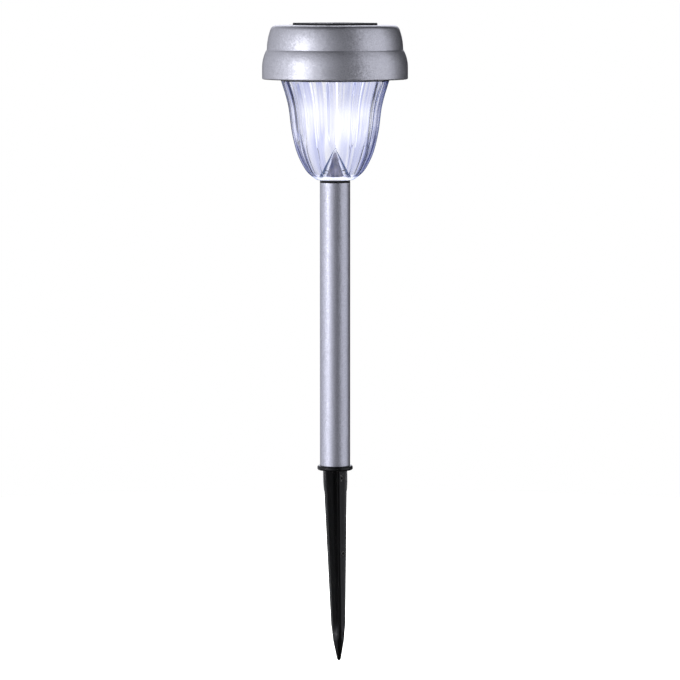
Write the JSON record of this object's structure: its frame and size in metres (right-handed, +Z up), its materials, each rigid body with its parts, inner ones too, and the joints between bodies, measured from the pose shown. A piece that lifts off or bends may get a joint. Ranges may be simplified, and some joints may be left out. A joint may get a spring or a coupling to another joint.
{
  "type": "solar garden light",
  "caption": "Ground-spike solar pathway light with a straight tube, a fluted bell lens and a two-tier round cap that carries a square solar panel and holds the battery, board and LED.",
  "frame": {"origin": "on the light's axis at the underside of the spike's flange, which is ground level in use", "axes": "+Z up along the tube; -Y towards the viewer; the switch slides along +X"},
  "size_m": [0.091, 0.091, 0.4023],
  "materials": {
    "black_plastic": "moulded, slightly glossy",
    "silver_tube": "metallic paint",
    "silver_paint": "metallic paint on moulded plastic",
    "clear_plastic": "clear, polished",
    "seal_rubber": "soft, matt",
    "foam_pad": "adhesive foam",
    "panel_laminate": "glass-fibre laminate",
    "silicon": "dark blue-black silicon",
    "panel_resin": "clear cast resin over black",
    "base_plastic": "fine moulded texture",
    "screw_steel": "zinc plated",
    "battery_wrap": "shrink wrap over steel, no print",
    "contact_metal": "nickel plated spring steel",
    "board_laminate": "green solder mask",
    "chip_black": "moulded epoxy",
    "ferrite": "sintered ferrite with a copper winding",
    "led_resin": "clear dome, lit",
    "tinned_wire": "tinned",
    "switch_metal": "stamped tin plate",
    "knob_plastic": "moulded",
    "wire_red": "PVC insulation",
    "wire_black": "PVC insulation"
  },
  "bodies": {
    "spike": {"spike": "black_plastic"},
    "tube": {"tube": "silver_tube"},
    "lens": {"lens": "clear_plastic"},
    "lens_seal": {"lens_seal": "seal_rubber"},
    "head": {"top_cap": "silver_paint", "panel_pad": "foam_pad", "panel_board": "panel_laminate", "solar_cells": "silicon", "panel_cover": "panel_resin", "base_plate": "base_plastic", "housing_seal": "seal_rubber", "housing_screws": "screw_steel", "battery_cell": "battery_wrap", "battery_plate": "contact_metal", "battery_spring": "contact_metal", "circuit_board": "board_laminate", "board_screws": "screw_steel", "driver_chip": "chip_black", "inductor": "ferrite", "led": "led_resin", "led_leads": "tinned_wire", "switch_case": "switch_metal", "panel_wire_red": "wire_red", "panel_wire_black": "wire_black", "battery_wire_red": "wire_red", "battery_wire_black": "wire_black"},
    "switch_slider": {"switch_slider": "knob_plastic"},
    "battery_door": {"battery_door": "base_plastic", "door_screw": "screw_steel"}
  },
  "joints": [
    {"name": "tube_lift", "type": "slide", "parent": "spike", "child": "tube", "axis": [0, 0, 1], "range_m": [0, 0.022]},
    {"name": "lens_lift", "type": "slide", "parent": "tube", "child": "lens", "axis": [0, 0, 1], "range_m": [0, 0.014]},
    {"name": "head_lift", "type": "slide", "parent": "lens", "child": "lens_seal", "axis": [0, 0, 1], "range_m": [0, 0.03]},
    {"name": "head_twist", "type": "hinge", "parent": "lens_seal", "child": "head", "pos_m": [0, 0, 0.2516], "axis": [0, 0, 1], "range_deg": [0, 24]},
    {"name": "switch_slide", "type": "slide", "parent": "head", "child": "switch_slider", "axis": [1, 0, 0], "range_m": [0, 0.002]},
    {"name": "door_drop", "type": "slide", "parent": "head", "child": "battery_door", "axis": [0, 0, -1], "range_m": [0, 0.008]}
  ]
}
